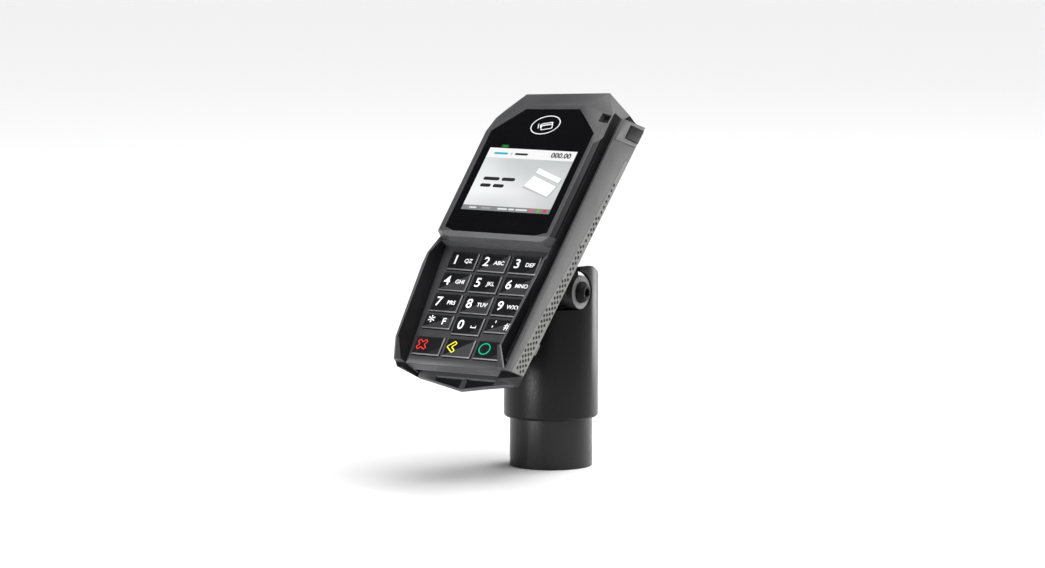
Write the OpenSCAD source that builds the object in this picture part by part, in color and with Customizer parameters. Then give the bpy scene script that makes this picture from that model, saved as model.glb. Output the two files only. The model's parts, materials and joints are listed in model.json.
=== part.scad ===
// Card payment terminal on a tilting and swivelling pole head.
// The terminal is drawn lying down: X to its right, Y up its face, Z out of the face, with the
// origin at the middle of the display. place_terminal() then leans it back on the tilt axis.

/* [Terminal] */
// Lean of the terminal's face back from vertical
lean = 42.3; // [35:0.1:55]
// Width of the display housing at the front edge of its sides
housing_w = 66.8; // [60:0.1:84]
// From the middle of the display up to the top ridge
top_reach = 57.7; // [52:0.1:72]
// From the middle of the display down to the step above the keypad
step_reach = 34; // [30:0.1:44]
// Length from the step down to the tip of the swipe rail
keypad_l = 73; // [60:0.1:90]
// Height of the display face over the middle of the display
face_z = 0.8; // [0.4:0.1:2]
// Depth of the casing behind the middle of the display
back_depth = 33; // [30:0.1:42]
// Depth of the joint between the front and rear casings
parting_depth = 14; // [13:0.1:16]
// Wall thickness of the casings
wall = 2; // [1.6:0.1:2.6]
// Draft of the casing sides
side_draft = 16.2; // [8:0.1:20]

/* [Display] */
// Width of the display window
window_w = 58.4; // [50:0.1:62]
// Corner cut at the top of the display window
window_cut = 14.1; // [8:0.1:18]
// From the middle of the display to the window's top edge
window_top = 43.8; // [38:0.1:48]
// From the middle of the display to the window's bottom edge
window_bottom = 31.9; // [28:0.1:33]
// Thickness of the display window
window_t = 1.6; // [1:0.1:2.4]
// Width of the lit picture
picture_w = 50.2; // [42:0.1:54]
// Height of the lit picture
picture_h = 37.6; // [32:0.1:42]

/* [Keypad] */
// Key spacing across
key_pitch_x = 17.6; // [16:0.1:18]
// Key spacing down
key_pitch_y = 11.8; // [11:0.1:13]
// Width of a key
key_w = 15.8; // [12:0.1:16.2]
// Height of a key
key_h = 10; // [8:0.1:10.4]
// Height of the two shorter keys beside zero
short_key_h = 7.6; // [6:0.1:9]
// Height of a key above the keypad plate
key_rise = 1; // [0.6:0.1:1.6]
// Travel of a key when pressed
key_travel = 1.2; // [0.6:0.1:1.6]
// Gap between a key and the plate
key_gap = 0.3; // [0.2:0.05:0.45]
// Slope of the keypad plate against the face
deck_tilt = 4.3; // [0:0.1:6]
// Depth of the keypad plate at the middle of the keys
deck_depth = 11.4; // [10:0.1:12]
// Thickness of the keypad plate
deck_t = 1.6; // [1.2:0.1:2]

/* [Card slots] */
// Thickness of the swipe rail
rail_t = 2.2; // [1.8:0.1:3]
// Distance from the housing side to the swipe rail at the face
channel_w = 6.2; // [6:0.1:8]
// Width of the slot that guides a swiped card
swipe_gap = 2; // [1.2:0.1:2.4]
// Depth of the floor of the swipe slot
swipe_depth = 12; // [11:0.1:12.4]
// Width of the chip-card slot
chip_slot_w = 54.6; // [54.4:0.1:55.5]
// Height of the chip-card slot
chip_slot_t = 1.5; // [1:0.1:2]

/* [Mount] */
// Outer diameter of the pole
pole_d = 40; // [34:0.1:48]
// Wall thickness of the pole
pole_t = 2; // [1.5:0.1:3]
// Height of the pole that shows below the head
pole_show = 24.1; // [20:0.1:60]
// Thickness of the swivel bush
bush_t = 0.9; // [0.6:0.1:1.4]
// Running clearance on the radius of the swivel and the tilt
run_gap = 0.05; // [0.02:0.01:0.09]
// Wall thickness of the head
head_t = 1.9; // [1.6:0.1:3]
// Height from the head's lower edge to the tilt axis
head_to_axis = 62.2; // [56:0.1:75]
// Distance of the tilt axis in front of the pole's axis
axis_forward = 7.5; // [5:0.1:10]
// Diameter of the tilt barrels
barrel_d = 16.3; // [14:0.1:18]
// Diameter of the tilt bolt
tilt_bolt_d = 6; // [5:0.1:6.5]
// Thickness of the fixed knuckle between the barrels
knuckle_t = 13; // [10:0.1:16]
// Distance from the tilt axis to the terminal's back
axis_stand_off = 18.1; // [16:0.1:24]
// Distance of the tilt axis below the middle of the display
axis_below = 26.5; // [20:0.1:32]

/* [Hidden] */
$fn = 48;
far = 400;
eps = 0.01;
fit = 0.15;
screw_fit = 0.05;

ROW_KEYS = [["1", "2", "3"], ["4", "5", "6"], ["7", "8", "9"], ["star", "0", "hash"],
    ["cancel", "clear", "enter"]];
KEY_NODES = [for (row = ROW_KEYS) for (name = row) str("key_", name)];

// ---- derived places ----
hw = housing_w / 2;
side_z = -1;
ridge = [23.4, top_reach, -4.9];
top_skew = 0.064;
crease_y = window_top + 2.2;
crease_x = 18;
bevel_low = [hw - 0.3, crease_y - 3.2, ridge.z];
slot_top = top_reach - 13;
rail_in = hw + channel_w;
rail_out = rail_in + rail_t;
facet_far = [rail_in - 0.1, top_reach - 9.9, -11.8];
notch_gap = 0.35;
step_y = -step_reach;
end_y = step_y - keypad_l;
part_z = -parting_depth;
slot_floor = -swipe_depth;
wing_taper = 5.1;
rim_drop = 0.0375;
rim_z = -0.7;
bend_y = end_y + 14;
end_slope = 0.2;
front_end = [0, end_y + 4.4, 0];
rail_back_top = [rail_out, top_reach - 8.5, -17.9];
rail_back_low = [rail_out, end_y + 4.6, -13];
chip_z = -26;
chip_top = chip_z + chip_slot_t / 2;
chip_low = chip_z - chip_slot_t / 2;
chip_half = chip_slot_w / 2;
key_mid_y = -(step_reach + 31.25);
axis_y = -axis_forward;
axis_z = pole_show + head_to_axis;
pole_r = pole_d / 2;
pole_in = pole_r - pole_t;
head_in = pole_r + bush_t + run_gap;
head_r = head_in + head_t;
barrel_r = barrel_d / 2;
notch_r = barrel_r + notch_gap;
barrel_end = 22.3;
knuckle_x = knuckle_t / 2;
washer_t = 0.5;
plate_t = 2.5;
base_t = 3;
back_z = -back_depth;
axis_local = [0, -axis_below, back_z - axis_stand_off];

// ---- helpers ----
// Everything on the far side of the plane through p with outward normal n
module beyond(p, n)
  translate(p) rotate([0, acos(n.z / norm(n)), atan2(n.y, n.x)])
    translate([-far / 2, -far / 2, 0]) cube(far);

// The planes in a list of [point, normal], each moved inwards by inset
module beyond_all(planes, inset = 0)
  for (pl = planes) beyond(pl[0] - inset * pl[1] / norm(pl[1]), pl[1]);

module both_sides() {
  children();
  mirror([1, 0, 0]) children();
}

module box(low, high) translate(low) cube(high - low);

// A rod along X
module rod_x(r, x0, x1) translate([x0, 0, 0]) rotate([0, 90, 0]) cylinder(r = r, h = x1 - x0);

// A plane through three points, facing the side from which they run counter-clockwise
function plane3(a, b, c) = [a, cross(b - a, c - a)];

module place_terminal()
  translate([0, axis_y, axis_z]) rotate([90 - lean, 0, 0])
    translate([0, axis_below, axis_stand_off + back_depth]) children();

// The tilt axis as the origin, in the terminal's own directions
module place_axis() place_terminal() translate(axis_local) children();

// ---- outer form of the casings ----
side_plane = [[hw, 0, side_z], [cos(side_draft), 0, sin(side_draft)]];
wing_plane = [[hw + 0.5, step_y - 12, side_z], [cos(side_draft), -sin(wing_taper), sin(side_draft)]];
rail_slope = 0.8;
left_slope = 0.4;
function skewed(p, side) = p + [0, side * top_skew * p.x, 0];
// Planes at the top corner of one side, drawn for +X; side is 1 on the right and -1 on the left
function corner_planes(side) = [
  [skewed(ridge, side), [skewed(ridge, side).y - facet_far.y, facet_far.x - ridge.x, 0]],
  plane3(skewed(ridge, side), bevel_low, facet_far),
  plane3(skewed([crease_x, crease_y, face_z], side), bevel_low, skewed(ridge, side))];
top_bevel = plane3(skewed([crease_x, crease_y, face_z], 1), skewed(ridge, 1),
    [-crease_x, crease_y - top_skew * crease_x, face_z]);
top_end = [skewed(ridge, 1), [-top_skew, 1, 0]];
rim_fall = [[0, step_y - 10.3, side_z], [0, 0.37, 0.93]];
corner_cut = [[hw, step_y + 2.6, 0], [2.6, -6.5, 0]];

module front_solid(inset = 0) {
  difference() {
    box([-rail_in, step_y + inset, part_z], [rail_in, top_reach + 3, face_z - inset]);
    both_sides() beyond_all([side_plane, [side_plane[0], [1, 0, 1]], corner_cut], inset);
    beyond_all(concat(corner_planes(1), [top_bevel, top_end, [[0, step_y + 1.8, face_z], [0, -1, 1]]]),
      inset);
    mirror([1, 0, 0]) beyond_all(corner_planes(-1), inset);
  }
  difference() {
    box([-rail_in, end_y, part_z], [rail_in, step_y + 4, 0]);
    both_sides() beyond_all([side_plane, wing_plane], inset);
    beyond_all([[[0, step_y - 3, rim_z], [0, -rim_drop, 1]], rim_fall, [[0, bend_y, -2.8], [0, -1, 1]],
        [front_end, [0, -1, -end_slope]]], inset);
  }
}

// The sunken space over the keypad, between the wings
module keypad_pocket(floor_gap = 0)
  difference() {
    deck_frame() box([-hw - 4, -60, floor_gap - deck_t], [hw + 4, 60, 30]);
    translate([0, step_y - 0.2, 0]) translate([-far / 2, 0, -far / 2]) cube(far);
    both_sides() beyond([hw - 1.2, step_y - 12, side_z], [452.7, -27.8, -75.5]);
  }

// Origin at the middle of the keys on the plate's upper face, Z square to the plate
module deck_frame()
  translate([0, key_mid_y, -deck_depth]) rotate([deck_tilt, 0, 0]) children();

module deck_outline(gap = 0)
  polygon([[-(hw - 2.1) + gap, 30.9 - gap], [-(hw - 6.3) + gap, -34.6 + gap],
      [hw - 6.3 - gap, -34.6 + gap], [hw - 2.1 - gap, 30.9 - gap]]);

module window_outline(gap = 0) {
  w = window_w / 2 - gap;
  polygon([[-w, 2 - window_bottom], [gap + 6.2 - w, gap - window_bottom],
      [w - 6.2 - gap, gap - window_bottom], [w, 2 - window_bottom],
      [w, window_top - window_cut + window_rise], [w - window_cut, window_top + window_rise - gap],
      [window_cut - w, window_top - window_rise - gap], [-w, window_top - window_cut - window_rise]]);
}

screw_spots = [[26.5, crease_y - 5], [hw - 1.2, step_y - 27]];
module at_screws()
  for (spot = screw_spots) both_sides() translate([spot.x, spot.y, 0]) children();

// ---- front casing ----
head_y = -15;
ledge_z = 3.2;
window_rise = 0.75;
module front_casing() color("#555557") place_terminal()
  difference() {
    union() {
      front_solid();
      // apron above the chip-card slot
      difference() {
        box([-chip_half, end_y, chip_top], [chip_half, end_y + 20, part_z + 1]);
        beyond(front_end, [0, -1, -end_slope]);
        beyond(front_end + [0, wall, 0], [0, 1, end_slope]);
      }
    }
    keypad_pocket();
    // the swipe slot's end beside the top facet
    box([hw + 0.2, step_y, part_z - 1], [rail_in + 1, slot_top, 5]);
    // display cavity
    translate([0, 0, part_z - 1]) linear_extrude(parting_depth - ledge_z + 1)
      polygon([[3 - hw, step_y + 3], [hw - 3, step_y + 3], [hw - 3, 23], [17, crease_y - 3],
          [-17, crease_y - 3], [3 - hw, 23]]);
    // window seat and the opening behind it
    translate([0, 0, -window_t + 0.4]) linear_extrude(5) window_outline(-fit);
    translate([0, 0, -5]) linear_extrude(6) window_outline(2);
    // space under the keypad plate
    deck_frame() translate([0, 0, -30]) linear_extrude(29) deck_outline(0.9);
    // window for the magnetic head
    box([hw - 4, head_y - 5.2, -11.4], [rail_in, head_y + 5.2, -5.6]);
    // small recess beside the top of the swipe slot
    translate([hw - 6.3, slot_top - 5.8, -6.6]) rotate([0, 0, 6]) cube([4.2, 6.2, 12]);
    at_screws() translate([0, 0, part_z - 1]) cylinder(r = 1.25 + screw_fit, h = 9);
    // the rear casing's side of the chip-card slot
    box([-chip_half - 1, end_y - 1, -40], [chip_half + 1, end_y + 30, chip_top]);
  }

// ---- rear casing ----
rail_back = plane3(rail_back_low, rail_back_low + [-1 * rail_slope, 0, -1], rail_back_top);
left_back = [[-(hw + 3.8), 0, -16.5], [-1, 0, -left_slope]];
end_right = plane3([rail_out, end_y - 0.4, -1.4], [chip_half + 0.3, end_y + 8.5, -28], rail_back_low);
end_left = [[-chip_half - 0.3, end_y + 8.5, -28], [-16, -165.9, -50]];
left_corner = plane3([-(hw - 0.5), end_y + 7.5, part_z], [-(hw - 0.8), end_y + 15, -28],
    [-(hw - 5.8), end_y + 8.5, -28]);

module rear_solid(inset = 0)
  difference() {
    box([-rail_in, end_y - 5, back_z + inset], [rail_in, top_reach + 3, part_z + inset / 2]);
    beyond_all([corner_planes(1)[0], top_end], inset);
    mirror([1, 0, 0]) beyond_all([side_plane, wing_plane, corner_planes(-1)[0]], inset);
    beyond_all([rail_back, left_back, end_right, end_left, left_corner,
        [[0, end_y + 47, back_z], [0, -2.5, -38]], [[0, top_reach, -17], [0, 0.9, -0.43]],
        [[rail_in, 0, 0], [1, 0, 0]]], inset);
  }

cover_low = [-18, 27, back_z];
cover_high = [18, 49, back_z];
adapter_spots = [[15, -24], [15, 16]];
module at_adapter() for (spot = adapter_spots) both_sides() translate([spot.x, spot.y, 0]) children();

module rear_casing() color("#2b2b2d") place_terminal()
  difference() {
    union() {
      difference() {
        rear_solid();
        intersection() {
          rear_solid(wall);
          box([-rail_in, end_y + 12, back_z], [rail_in - 3, top_reach + 3, part_z + 1]);
        }
      }
      intersection() {
        rear_solid();
        union() {
          at_screws() translate([0, 0, back_z]) cylinder(r = 4, h = back_depth - parting_depth);
          at_adapter() translate([0, 0, back_z]) cylinder(r = 3.6, h = 8);
        }
      }
    }
    // room for the apron, the chip-card slot and its lip
    box([-chip_half - fit, end_y - 9, chip_low], [chip_half + fit, end_y + 14, part_z + 1]);
    box([-chip_half - fit, end_y - 9, chip_low - 2.2], [chip_half + fit, end_y + 14, chip_low + eps]);
    at_screws() {
      translate([0, 0, -60]) cylinder(r = 2.5, h = 60 - 19);
      translate([0, 0, -30]) cylinder(r = 1.4, h = 30);
    }
    at_adapter() translate([0, 0, back_z - 1]) cylinder(r = 1.5 + screw_fit, h = 8);
    // hatch behind the service cover
    box([-14, 31, back_z - 1], [14, 45, back_z + wall + 1]);
    // pockets for the rail's hooks
    for (y = rail_hooks) box([rail_in - 3, y - 3 - fit, part_z - 3.2], [rail_in, y + 3 + fit, part_z]);
  }

// ---- swipe rail ----
rail_hooks = [end_y + 22, step_y - 6, 10];
rail_top = [[rail_out, top_reach - 17.4, 0], [0, 0.895, 0.445]];
rail_seam = [[rail_out, top_reach - 30, 0], [0, 0.895, 0.445]];
rail_end = plane3([rail_out, end_y - 0.4, -1.4], [rail_out + 5, end_y - 0.4, -1.4], rail_back_low);

module rail_solid()
  difference() {
    box([rail_in, end_y - 2, -22], [rail_out, top_reach, 0]);
    beyond_all([rail_back, [rail_end[0], -rail_end[1]], [[rail_out, 0, -0.7], [1, 0, 1]],
        [[rail_in, 0, -0.4], [-1, 0, 1]]]);
    translate([0, end_y - 0.9, 0]) beyond([0, 0, 0], [0, -1, 0]);
  }

// Front edge of the grip strip, as depth against length
grip_low = [end_y + 1.5, -3.6];
grip_high = [top_reach - 31, -14.4];
function grip_edge(y) = lookup(y, [grip_low, grip_high]);
function grip_back(y) = lookup(y, [[rail_back_low.y, rail_back_low.z], [rail_back_top.y, rail_back_top.z]]);

module grip_outline(grow = 0)
  translate([rail_out, 0, 0]) rotate([90, 0, 90])
    linear_extrude(3, center = true) polygon([[end_y - 6, grip_low[1] + 2.7 + grow], [end_y - 6, -30],
        [grip_high[0] + grow, -30], [grip_high[0] + grow, grip_high[1] + grow],
        [grip_low[0], grip_low[1] + grow]]);

module swipe_rail() color("#727273") place_terminal() {
  difference() {
    rail_solid();
    beyond_all([rail_seam]);
    intersection() {
      grip_outline();
      box([rail_out - 0.8, end_y - 9, -40], [rail_out + 2, far, 5]);
    }
  }
  for (y = rail_hooks) box([rail_in - 2.6, y - 3, part_z - 3], [rail_in + 0.5, y + 3, part_z - 0.2]);
}

plug_depth = 1.2;
plug_w = 7.6;
plug_lean = 0.456;
// The black corner plug: a leaning square on the cap's side that runs over its back edge
module plug_form(gap = 0) {
  high = -7.2 + gap;
  low = -24;
  y0 = top_reach - 23.3;
  translate([rail_out - plug_depth - gap, 0, 0]) rotate([90, 0, 90]) linear_extrude(5)
    polygon([[y0 - gap - plug_lean * (high + 7.2), high],
        [y0 + plug_w + gap - plug_lean * (high + 7.2), high],
        [y0 + plug_w + gap - plug_lean * (low + 7.2), low],
        [y0 - gap - plug_lean * (low + 7.2), low]]);
}

module rail_end_cap() color("#767677") place_terminal()
  difference() {
    rail_solid();
    beyond_all([rail_top]);
    beyond(rail_seam[0] + [0, 0.2, 0], -rail_seam[1]);
    plug_form(fit);
  }

module corner_plug() color("#1b1d1e") place_terminal()
  intersection() {
    plug_form();
    translate([0.3, 0, 0]) difference() {
      box([rail_in, 0, -22], [rail_out, top_reach + 9, 0]);
      beyond_all([rail_back]);
    }
  }

dot_pitch = 3.3;
dot_r = 0.85;
module grip_strip() color("#8c8c8a") place_terminal()
  difference() {
    intersection() {
      rail_solid();
      grip_outline(-0.15);
      box([rail_out - 0.75, end_y - 9, -40], [rail_out + 2, far, 5]);
    }
    // rows of dimples, every second row shifted by half a pitch
    for (y = [end_y + 4.5 : dot_pitch : grip_high[0] - 2], step = [0, dot_pitch / 2], col = [0 : 4])
      let (z = col * dot_pitch + step - 16.2)
        if (z < grip_edge(y + step) - dot_r - 0.4 && z > grip_back(y + step) + dot_r + 0.3)
          translate([rail_out, y + step, z]) rod_x(dot_r, -0.35, 1, $fn = 16);
  }

// Black floor and inner wall of the swipe slot; the wall covers the housing's side
liner_t = 0.9;
module slot_liner() color("#141416") place_terminal()
  difference() {
    box([hw + 0.3, end_y + 8, part_z], [rail_in, slot_top - 0.1, -1.7]);
    box([rail_in - swipe_gap, end_y, slot_floor], [rail_in + 1, top_reach, 1]);
    // above the guide the wall follows the casing
    intersection() {
      translate([0, 0, slot_floor + 6.4]) box([0, end_y, 0], [rail_in + 1, top_reach, far]);
      union() {
        intersection() {
          beyond(side_plane[0] + [liner_t, 0, 0], side_plane[1]);
          translate([0, step_y, -far / 2]) cube([far, far, far]);
        }
        intersection() {
          beyond_all([side_plane, wing_plane], -liner_t);
          translate([0, step_y - far, -far / 2]) cube([far, far, far]);
        }
      }
    }
    front_solid(-0.1);
    box([0, head_y - 5, -11.2], [rail_in + 1, head_y + 5, -5.8]);
  }

// ---- display ----
module display_window() color("#0e0e10") place_terminal()
  translate([0, 0, -window_t + 0.4]) linear_extrude(window_t) window_outline();

lcd_top = -window_t + 0.2;
lcd_t = 1.6;
lcd_side = 1;
lcd_foot = 2.6;
lcd_low = [-picture_w / 2 - lcd_side, -picture_h / 2 - lcd_foot, lcd_top - lcd_t];
lcd_high = [picture_w / 2 + lcd_side, picture_h / 2 + lcd_side, lcd_top];
module lcd_panel() color("#dfe4e6") place_terminal() box(lcd_low, lcd_high);

module lcd_frame() color("#c8cacc") place_terminal()
  difference() {
    box(lcd_low - [0.9, 0.9, 3.4], lcd_high + [0.9, 0.9, -0.3]);
    box(lcd_low - [0.1, 0.1, 0.1], lcd_high + [0.1, 0.1, 1]);
  }

module status_light_guide() color("#1fae3c") place_terminal()
  difference() {
    box([-picture_w / 2 + 7.2, picture_h / 2 + 2.6, lcd_top - 6.6],
      [-picture_w / 2 + 11.4, picture_h / 2 + 4.4, lcd_top - 0.1]);
    box([-picture_w / 2 + 8.2, picture_h / 2, lcd_top - 7], [-picture_w / 2 + 10.4, 60, lcd_top - 5]);
  }

// Contactless antenna: a loop board behind the top of the window
module antenna_board() color("#1d5a34") place_terminal()
  translate([0, 0, lcd_top - 2.2]) difference() {
    linear_extrude(1) polygon([[-24, picture_h / 2 + 5.2],
        [24, picture_h / 2 + 5.2], [24, 29.5], [14.5, crease_y - 7.5], [-14.5, crease_y - 7.5],
        [-24, 29.5]]);
    translate([0, 0, -1]) linear_extrude(4) polygon([[-15, picture_h / 2 + 9], [15, picture_h / 2 + 9],
        [10, crease_y - 11.5], [-10, crease_y - 11.5]]);
  }

// ---- boards inside ----
board_z = part_z - 3;
module main_board() color("#1f6b3a") place_terminal()
  difference() {
    union() {
      box([3.4 - hw, step_y + 5, board_z - 1.6], [hw - 3.4, crease_y - 14, board_z]);
      box([-20, step_y + 5, board_z - 1.6], [20, crease_y - 3.6, board_z]);
    }
    for (x = [-26, 26], y = [step_y + 9, 26]) translate([x, y, board_z - 2]) cylinder(r = 1.6, h = 3);
  }

module security_shield() color("#b9bcbf") place_terminal()
  difference() {
    box([-16, -22, board_z], [6, 6, board_z + 4]);
    box([-15.6, -21.6, board_z - 1], [5.6, 5.6, board_z + 3.6]);
    for (x = [-11, -5, 1], y = [-17, -9, -1]) translate([x, y, board_z]) cylinder(r = 1, h = 5);
  }

module backup_cell() color("#c9c9c4") place_terminal()
  translate([18, -12, board_z]) {
    cylinder(r = 8, h = 2.6);
    translate([0, 0, 2.6]) cylinder(r = 6.6, h = 0.6);
  }

module buzzer() color("#161616") place_terminal()
  translate([18, 12, board_z]) difference() {
    cylinder(r = 6, h = 4.4);
    translate([0, 0, 3]) cylinder(r = 1.1, h = 3);
  }

module rear_connector() color("#1a1a1a") place_terminal()
  difference() {
    box([-11, 30, board_z - 10.6], [11, 41, board_z - 1.6]);
    box([-9.6, 31.5, board_z - 12], [9.6, 39.5, board_z - 4]);
  }

// ---- keypad ----
key_drop = 0.9;
module at_keys(row, col, name) {
  wide = (name == "star" || name == "hash") ? short_key_h : key_h;
  foot = row == len(ROW_KEYS) - 1 ? 0.5 : 0;
  translate([(col - 1) * key_pitch_x, (2 - row) * key_pitch_y - key_drop - foot + (key_h - wide) / 2, 0])
    children();
}

function key_size(name) = [key_w, (name == "star" || name == "hash") ? short_key_h : key_h];

module each_key()
  for (row = [0 : len(ROW_KEYS) - 1], col = [0 : 2])
    at_keys(row, col, ROW_KEYS[row][col]) key_hole(key_size(ROW_KEYS[row][col]));

module key_hole(size)
  translate([-size.x / 2 - key_gap, -size.y / 2 - key_gap, -30])
    cube([size.x + 2 * key_gap, size.y + 2 * key_gap, 60]);

module keypad_plate() color("#4d4d50") place_terminal()
  difference() {
    intersection() {
      keypad_pocket();
      deck_frame() box([-60, -60, -deck_t], [60, 60, 0]);
    }
    beyond(front_end, [0, -1, -end_slope]);
    deck_frame() each_key();
  }

flange_t = 1.1;
flange_over = 0.6;
mat_top = -deck_t - 0.1 - flange_t - key_travel - 0.2;
mat_t = 1;
stem_top = key_rise - 1.4 - key_travel - 0.2;
board_t = 1.6;

module keypad_membrane() color("#3c3f42") place_terminal() deck_frame() {
  translate([0, 0, mat_top - mat_t]) linear_extrude(mat_t) deck_outline(2.6);
  for (row = [0 : len(ROW_KEYS) - 1], col = [0 : 2])
    at_keys(row, col, ROW_KEYS[row][col]) translate([0, 0, mat_top]) cylinder(r = 2, h = stem_top - mat_top);
}

module keypad_board() color("#1f6b3a") place_terminal() deck_frame()
  translate([0, 0, mat_top - mat_t - board_t]) linear_extrude(board_t) deck_outline(2.6);

// One key: a chamfered cap that shows through the plate, a flange that holds it in, and a
// hollow underside that takes the stem of the membrane
module key_form(size) {
  half = size / 2;
  under = -deck_t - 0.1;
  difference() {
    union() {
      difference() {
        box([-half.x, -half.y, under - eps], [half.x, half.y, key_rise]);
        for (side = [-1, 1]) {
          beyond([side * half.x, 0, key_rise - 0.45], [side, 0, 1]);
          beyond([0, side * half.y, key_rise - 0.45], [0, side, 1]);
        }
      }
      box([-half.x - flange_over, -half.y - flange_over, under - flange_t],
        [half.x + flange_over, half.y + flange_over, under]);
    }
    box([-half.x + 1.6, -half.y + 1.6, under - flange_t - 1],
      [half.x - 1.6, half.y - 1.6, key_rise - 1.4]);
  }
}

module key(row, col) {
  name = ROW_KEYS[row][col];
  color("#202022") place_terminal() deck_frame() at_keys(row, col, name) key_form(key_size(name));
}

// ---- card readers ----
head_mid = -8.5;
module magnetic_head() color("#b5b7ba") place_terminal()
  translate([0, head_y, head_mid]) intersection() {
    box([hw - 4, -4.4, -2.4], [rail_in, 4.4, 2.4]);
    union() {
      translate([rail_in - swipe_gap - 4.7, 0, -3]) cylinder(r = 5, h = 6);
      box([hw - 5, -4.4, -3], [rail_in - swipe_gap - 3.4, 4.4, 3]);
    }
  }

module head_spring() color("#c4c6c8") place_terminal()
  translate([0, head_y, head_mid]) {
    box([hw - 5.1, -9, -2], [hw - 4.8, 9, 2]);
    for (side = [-1, 1]) box([hw - 4.8, side * 8.2 - 0.8, -2], [hw - 3, side * 8.2 + 0.8, 2]);
  }

reader_top = chip_top + 1.6;
reader_low = chip_low - 1.5;
reader_mouth = end_y + 14.2;
reader_end = reader_mouth + 44;
card_stop = reader_end - 2;
chip_spot = [3, card_stop - 15];
module chip_reader() color("#1c1c1e") place_terminal() {
  difference() {
    box([-chip_half - 0.7, reader_mouth, reader_low], [chip_half + 0.7, reader_end, reader_top]);
    box([-chip_half, reader_mouth - 1, chip_low], [chip_half, card_stop, chip_top]);
    box([chip_spot.x - 7, chip_spot.y - 7, chip_z], [chip_spot.x + 7, chip_spot.y + 7, reader_top + 1]);
    // clear of the casing's slanted wall under the rail
    beyond_all([rail_back], wall + fit);
  }
  intersection() {
    rear_solid(wall);
    for (x = [-20, 20], y = [reader_mouth + 6, reader_end - 4])
      translate([x, y, back_z]) cylinder(r = 2.5, h = reader_low - back_z);
  }
}

contact_pitch = 2.54;
module chip_contacts() color("#c9a94a") place_terminal()
  translate([chip_spot.x, chip_spot.y, 0]) {
    box([-6.8, -6.8, chip_top], [6.8, 6.8, reader_top]);
    for (col = [-1.5 : 1 : 1.5], side = [-1, 1])
      box([col * contact_pitch - 0.5, side * 3.6 - 2, chip_top - 0.35],
        [col * contact_pitch + 0.5, side * 3.6 + 2, chip_top]);
  }

lip_t = 2;
lip_reach = 5.7;
lip_rim = 0.8;
recess_t = 0.9;
recess_half = chip_half - 10.6;
recess_back = end_y + 9.5;
rib_half = 1.5;
function lip_edge(x) = end_y + 8.5 - lip_reach * (1 - x / chip_half);
module card_lip() color("#646466") place_terminal()
  difference() {
    translate([0, 0, chip_low - lip_t]) linear_extrude(lip_t)
      polygon([[-chip_half, end_y + 13.5], [-chip_half, end_y + 8.5], [0, end_y + 8.5 - lip_reach],
          [chip_half, end_y + 8.5], [chip_half, end_y + 13.5]]);
    // shallow finger recess behind the pointed rim, with a round-ended rib in its middle
    translate([0, 0, chip_low - recess_t]) linear_extrude(3) difference() {
      polygon([[0, lip_edge(0) + lip_rim], [recess_half, lip_edge(recess_half) + lip_rim],
          [recess_half, recess_back], [-recess_half, recess_back],
          [-recess_half, lip_edge(recess_half) + lip_rim]]);
      translate([-rib_half, end_y]) square([2 * rib_half, recess_back - rib_half - 0.3 - end_y]);
      translate([0, recess_back - rib_half - 0.3]) circle(r = rib_half);
    }
  }

// ---- fastenings and back of the terminal ----
module casing_screws() color("#8d9094") place_terminal() at_screws()
  difference() {
    union() {
      translate([0, 0, -19 - 2]) cylinder(r = 2.3, h = 2);
      translate([0, 0, -19]) cylinder(r = 1.25, h = 12);
    }
    translate([0, 0, -22]) cylinder(r = 0.9, h = 2.2, $fn = 6);
  }

module service_cover() color("#262628") place_terminal()
  difference() {
    union() {
      box(cover_low + [0, 0, -1.8], cover_high);
      box([-13.8, 31.2, back_z], [13.8, 44.8, back_z + wall]);
    }
    box([-12.4, 32.6, back_z - 0.2], [12.4, 43.4, back_z + wall + 1]);
    translate([0, cover_low.y, back_z - 2]) cylinder(r = 3, h = 6);
    for (x = [-15.8, 15.8]) translate([x, 46, back_z - 3]) cylinder(r = 1.1, h = 6);
  }

foot_x = 22.4;
module rubber_feet() color("#101010") place_terminal()
  for (x = [-foot_x, foot_x], y = [step_y - 18, top_reach - 14]) translate([x, y, back_z - 1.5])
    difference() {
      cylinder(r = 3, h = 1.5);
      translate([0, 0, -eps]) cylinder(r = 1.4, h = 0.4);
    }

// ---- mount on the back ----
plate_low = [-20, -axis_below - 7, back_z - plate_t];
plate_high = [20, plate_low.y + 56, back_z];
module adapter_plate() color("#2a2b2d") place_terminal()
  difference() {
    box(plate_low, plate_high);
    at_adapter() translate([0, 0, back_z - plate_t - 1]) {
      cylinder(r = 1.5 + screw_fit, h = plate_t + 2);
      cylinder(r = 3, h = 1 + 1.6);
    }
    at_bracket_screws() translate([0, 0, back_z - plate_t - 1]) cylinder(r = 2 + screw_fit, h = plate_t + 2);
  }

module adapter_screws() color("#9a9da0") place_terminal() at_adapter()
  difference() {
    translate([0, 0, back_z - plate_t]) {
      cylinder(r = 2.8, h = 1.5);
      cylinder(r = 1.5, h = plate_t + 6);
    }
    translate([0, 0, back_z - plate_t - eps]) cylinder(r = 1.1, h = 1, $fn = 6);
  }

base_z = back_z - plate_t - base_t;
bracket_spots = [[12, plate_low.y + 26], [12, plate_low.y + 40]];
module at_bracket_screws()
  for (spot = bracket_spots) both_sides() translate([spot.x, spot.y, 0]) children();

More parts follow.
